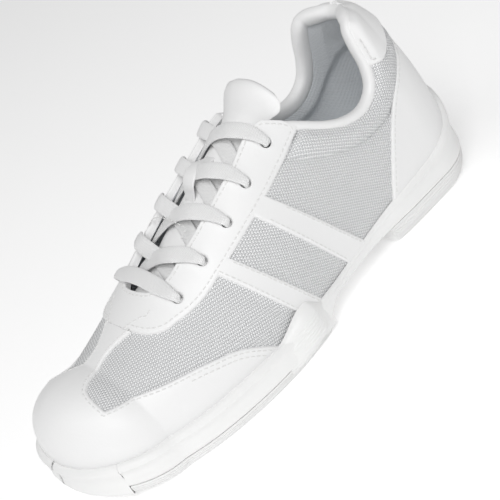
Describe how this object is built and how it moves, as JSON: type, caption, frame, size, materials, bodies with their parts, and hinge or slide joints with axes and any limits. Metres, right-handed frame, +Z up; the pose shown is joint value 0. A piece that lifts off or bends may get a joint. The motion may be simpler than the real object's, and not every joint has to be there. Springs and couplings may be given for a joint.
{
  "type": "cheer shoe",
  "caption": "White low-top cheerleading shoe for the left foot: mesh and leather-look upper, laced throat, padded collar, cupped rubber sole with raised arch.",
  "frame": {"origin": "on the floor, under the middle of the shoe's length and width", "axes": "+X towards the toe, +Y towards the outer (lateral) side of the left foot, +Z up"},
  "size_m": [0.2627, 0.1021, 0.106],
  "materials": {
    "outsole_rubber": "satin moulded rubber, fine side ribs",
    "midsole_foam": "smooth satin moulded EVA",
    "shank_plastic": "smooth",
    "upper_mesh": "open knitted mesh",
    "upper_leather": "smooth satin synthetic leather, stitched edges",
    "tongue_leather": "soft smooth synthetic leather",
    "lining_mesh": "fine grey-blue spacer mesh",
    "collar_foam": "soft open-cell foam",
    "board_fibre": "felted fibre board",
    "insole_fabric": "brushed fabric over foam",
    "stiffener": "matt thermoplastic sheet",
    "lace_weave": "tubular woven polyester",
    "aglet_film": "clear-coated film"
  },
  "bodies": {
    "shoe": {"outsole_heel": "outsole_rubber", "outsole_ball": "outsole_rubber", "shank_plate": "shank_plastic", "midsole_rear": "midsole_foam", "lateral_outrigger": "midsole_foam", "insole_board": "board_fibre", "insole": "insole_fabric", "heel_stiffener": "stiffener", "eyelet_backer": "stiffener", "vamp_mesh": "upper_mesh", "quarter_mesh_lateral": "upper_mesh", "quarter_mesh_medial": "upper_mesh", "collar_mesh": "upper_mesh", "collar_foam": "collar_foam", "collar_lining": "lining_mesh", "vamp_lining": "lining_mesh", "quarter_lining_lateral": "lining_mesh", "quarter_lining_medial": "lining_mesh", "heel_mesh": "upper_mesh", "collar_rim": "upper_leather", "eyestay": "upper_leather", "toe_cap": "upper_leather", "stripe_rear_lateral": "upper_leather", "stripe_rear_medial": "upper_leather", "stripe_front_lateral": "upper_leather", "stripe_front_medial": "upper_leather", "heel_counter": "upper_leather", "heel_tab": "upper_leather", "tongue": "tongue_leather", "lace_keeper": "upper_leather", "lace": "lace_weave", "aglets": "aglet_film"},
    "forefoot": {"outsole_toe": "outsole_rubber", "midsole_toe": "midsole_foam", "toe_bumper": "midsole_foam", "toe_puff": "stiffener"},
    "tongue_flap": {"tongue_tip": "tongue_leather"}
  },
  "joints": [
    {"name": "forefoot_flex", "type": "hinge", "parent": "shoe", "child": "forefoot", "pos_m": [0.058, 0, 0.013], "axis": [0, -1, 0], "range_deg": [0, 30], "stiffness_Nm_per_rad": 1, "deforming": ["vamp_mesh", "vamp_lining", "toe_cap", "insole_board", "insole"]},
    {"name": "tongue_flap_bend", "type": "hinge", "parent": "shoe", "child": "tongue_flap", "pos_m": [-0.033, 0, 0.0915], "axis": [0, 1, 0], "range_deg": [-5, 30], "stiffness_Nm_per_rad": 0.05}
  ]
}
